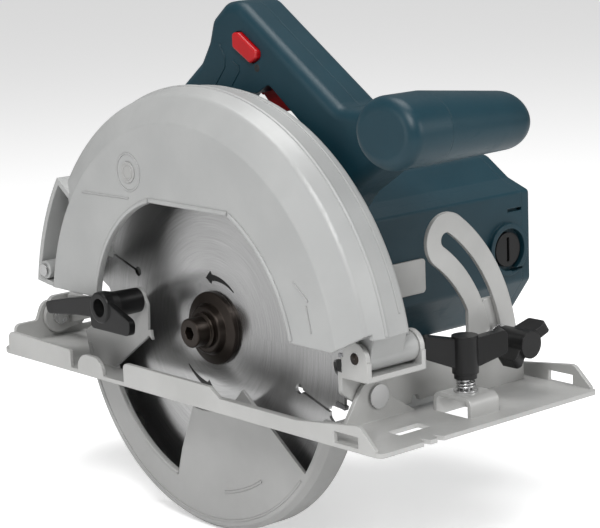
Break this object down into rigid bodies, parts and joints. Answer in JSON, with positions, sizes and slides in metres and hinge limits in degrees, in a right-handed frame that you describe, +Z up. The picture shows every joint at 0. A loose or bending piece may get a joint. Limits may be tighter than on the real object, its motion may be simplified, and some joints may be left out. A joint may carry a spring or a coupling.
{
  "type": "circular saw",
  "caption": "Hand-held circular saw with tilting base, depth hinge, sprung lower guard, D handle and cross front handle.",
  "frame": {"origin": "on the plane of the base's underside, in the blade's middle plane, straight below the blade's axis", "axes": "+Z up from the base, -Y the way the saw cuts, +X from the blade towards the motor; the blade turns about X"},
  "size_m": [0.189, 0.2913, 0.2469],
  "materials": {
    "stamped_steel": "satin zinc-grey",
    "bright_steel": "bright zinc",
    "blade_steel": "ground",
    "carbide": "ground carbide",
    "black_flange": "burnished black",
    "silver_casting": "silver paint",
    "guard_silver": "silver paint",
    "grey_casting": "die cast",
    "teal_plastic": "fine matt grain",
    "black_plastic": "satin",
    "black_rubber": "matt",
    "red_plastic": "satin",
    "badge": "satin",
    "lamination": "stacked sheet",
    "copper": "copper",
    "brass_tube": "brass",
    "carbon": "carbon"
  },
  "bodies": {
    "base": {"base_plate": "stamped_steel", "bevel_quadrant": "stamped_steel", "front_pivot_rivet": "bright_steel", "rear_pivot_rivet": "bright_steel", "fence_washer": "bright_steel", "fence_spring": "bright_steel"},
    "fence_clamp": {"fence_knob": "black_plastic", "fence_screw": "bright_steel"},
    "tilt_frame": {"front_tilt_bracket": "stamped_steel", "rear_tilt_bracket": "stamped_steel", "depth_guide_arm": "stamped_steel", "hinge_pin": "bright_steel", "bevel_bolt": "bright_steel", "bevel_washer": "bright_steel"},
    "bevel_clamp": {"bevel_knob": "black_plastic"},
    "saw_body": {"upper_guard": "silver_casting", "guard_badge": "badge", "chip_port_screw": "bright_steel", "guard_screws": "bright_steel", "gear_housing": "grey_casting", "motor_housing": "teal_plastic", "motor_end_cover": "teal_plastic", "motor_screws": "bright_steel", "spindle_front_bearing": "bright_steel", "spindle_rear_bearing": "bright_steel", "armature_front_bearing": "bright_steel", "armature_rear_bearing": "bright_steel", "field_core": "lamination", "field_coils": "copper", "brush_tubes": "brass_tube", "carbon_brushes": "carbon", "brush_caps": "black_plastic", "handle_left_half": "teal_plastic", "handle_right_half": "teal_plastic", "aux_handle": "teal_plastic", "aux_handle_cap": "teal_plastic", "trigger_pin": "bright_steel", "switch_unit": "black_plastic", "cord_inlet": "black_rubber", "depth_clamp_bolt": "bright_steel"},
    "depth_clamp": {"depth_lever": "black_plastic"},
    "spindle_group": {"saw_blade": "blade_steel", "carbide_tips": "carbide", "inner_flange": "black_flange", "outer_flange": "black_flange", "blade_bolt": "black_flange", "spindle": "bright_steel", "spindle_gear": "bright_steel"},
    "armature": {"armature_shaft": "bright_steel", "armature_pinion": "bright_steel", "armature_core": "lamination", "armature_fan": "black_plastic", "commutator": "copper"},
    "swing_guard": {"lower_guard": "guard_silver", "guard_lever_knob": "black_plastic", "guard_lever_screw": "bright_steel", "guard_return_spring": "bright_steel"},
    "trigger_lever": {"trigger": "red_plastic"},
    "lock_off": {"lock_button": "red_plastic"}
  },
  "joints": [
    {"name": "bevel_tilt", "type": "hinge", "parent": "base", "child": "tilt_frame", "pos_m": [0.0085, 0, 0.013], "axis": [0, -1, 0], "range_deg": [0, 45]},
    {"name": "depth_swing", "type": "hinge", "parent": "tilt_frame", "child": "saw_body", "pos_m": [0, -0.107, 0.0343], "axis": [1, 0, 0], "range_deg": [0, 32]},
    {"name": "fence_clamp_turn", "type": "hinge", "parent": "base", "child": "fence_clamp", "pos_m": [0.045, -0.119, 0], "axis": [0, 0, 1], "continuous": true},
    {"name": "bevel_clamp_turn", "type": "hinge", "parent": "tilt_frame", "child": "bevel_clamp", "pos_m": [0.08455, -0.11, 0.02505], "axis": [0, -1, 0], "continuous": true},
    {"name": "depth_lever_turn", "type": "hinge", "parent": "saw_body", "child": "depth_clamp", "pos_m": [0.018, 0.04861, 0.04901], "axis": [1, 0, 0], "range_deg": [0, 35]},
    {"name": "blade_spin", "type": "hinge", "parent": "saw_body", "child": "spindle_group", "pos_m": [0, 0, 0.03], "axis": [1, 0, 0], "continuous": true},
    {"name": "armature_spin", "type": "hinge", "parent": "saw_body", "child": "armature", "pos_m": [0, -0.014, 0.05309], "axis": [1, 0, 0], "continuous": true},
    {"name": "lower_guard_swing", "type": "hinge", "parent": "saw_body", "child": "swing_guard", "pos_m": [0, 0, 0.03], "axis": [1, 0, 0], "range_deg": [0, 110], "stiffness_Nm_per_rad": 0.35, "springref_deg": -34.38},
    {"name": "trigger_pull", "type": "hinge", "parent": "saw_body", "child": "trigger_lever", "pos_m": [0.0315, -0.0295, 0.149], "axis": [1, 0, 0], "range_deg": [0, 6], "stiffness_Nm_per_rad": 1.2, "springref_deg": -5.73},
    {"name": "lock_off_press", "type": "slide", "parent": "saw_body", "child": "lock_off", "axis": [1, 0, 0], "range_m": [0, 0.002], "stiffness_N_per_m": 600, "springref_m": -0.001}
  ],
  "couplings": [
    {"joint": "armature_spin", "follows": "blade_spin", "ratio": -4}
  ]
}
